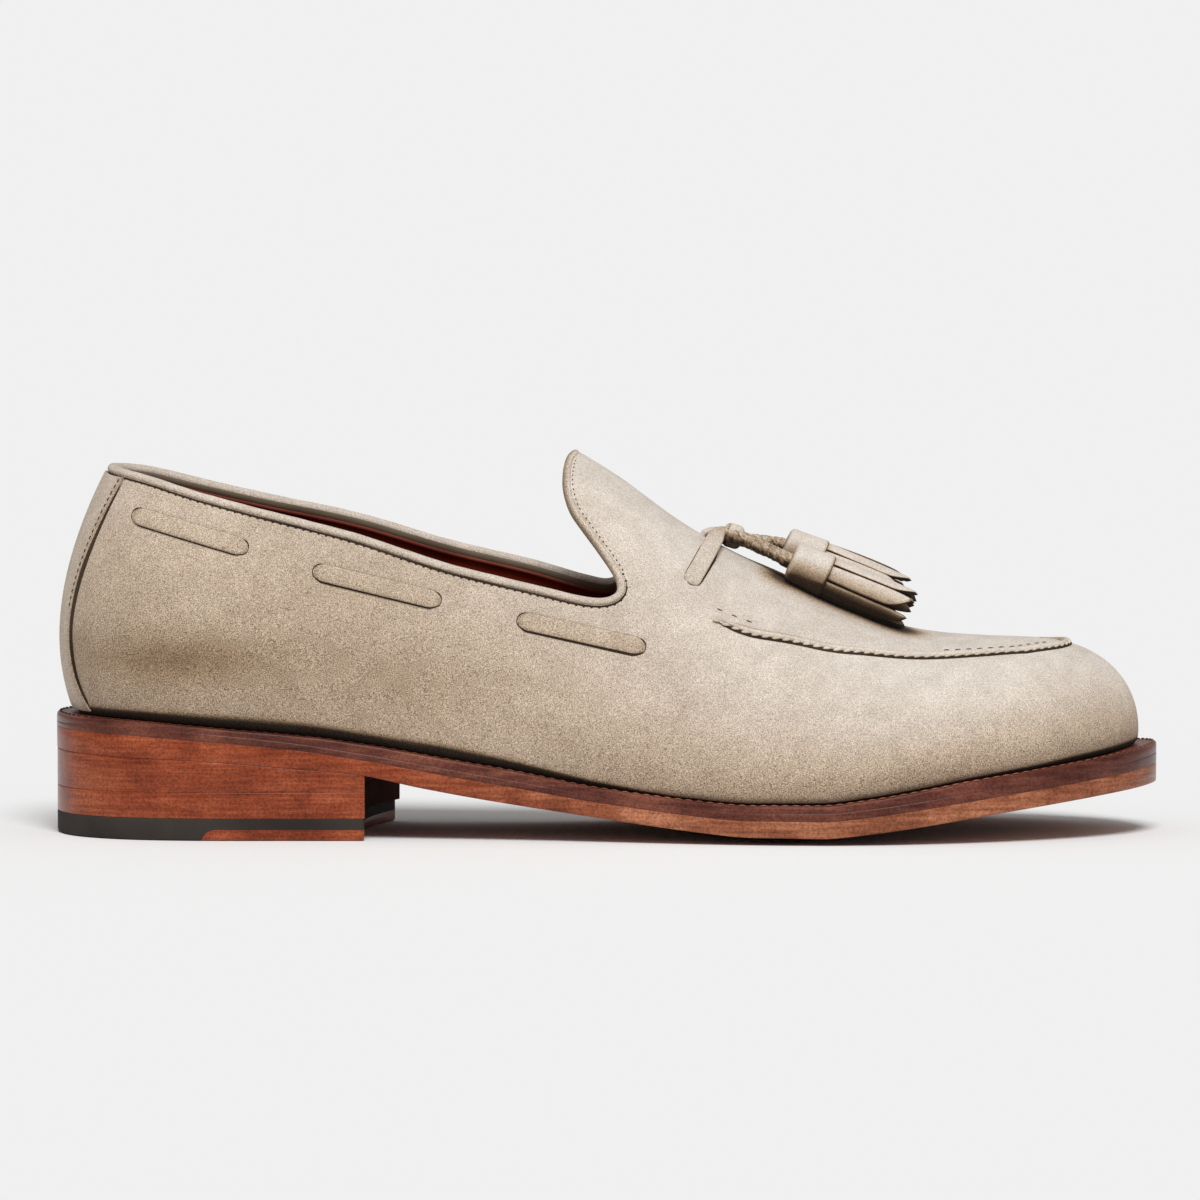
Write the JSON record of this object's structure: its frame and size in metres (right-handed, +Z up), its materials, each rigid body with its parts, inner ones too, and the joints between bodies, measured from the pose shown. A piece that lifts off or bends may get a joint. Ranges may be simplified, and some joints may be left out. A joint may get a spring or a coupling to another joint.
{
  "type": "tassel loafer",
  "caption": "Suede slip-on loafer for the right foot, with a raised apron seam, a lace threaded under the bound collar, fringed tassels, a welted leather sole and a stacked heel.",
  "frame": {"origin": "on the floor, in the middle of the shoe's box seen from above", "axes": "+X towards the toe, +Y towards the inner side of the foot, +Z up"},
  "size_m": [0.3, 0.1062, 0.104],
  "materials": {
    "suede": "napped suede",
    "lining": "smooth",
    "welt_edge": "polished",
    "sole_leather": "polished edge",
    "heel_leather": "polished edge",
    "rubber": "matt"
  },
  "bodies": {
    "root": {"outsole": "sole_leather", "midsole": "welt_edge", "welt": "welt_edge", "heel_lift_upper": "heel_leather", "heel_lift_lower": "heel_leather", "heel_rubber": "rubber", "heel_tip": "heel_leather", "insole": "lining", "upper": "suede", "topline_binding": "suede", "back_strip": "suede", "apron_seam": "suede", "lace_rear_outer": "suede", "lace_middle_outer": "suede", "lace_front_outer": "suede", "lace_end_outer": "suede", "lace_rear_inner": "suede", "lace_middle_inner": "suede", "lace_front_inner": "suede", "lace_end_inner": "suede", "lace_knot": "suede", "tassel_cord_outer": "suede", "tassel_outer": "suede", "tassel_cord_inner": "suede", "tassel_inner": "suede"}
  },
  "joints": []
}
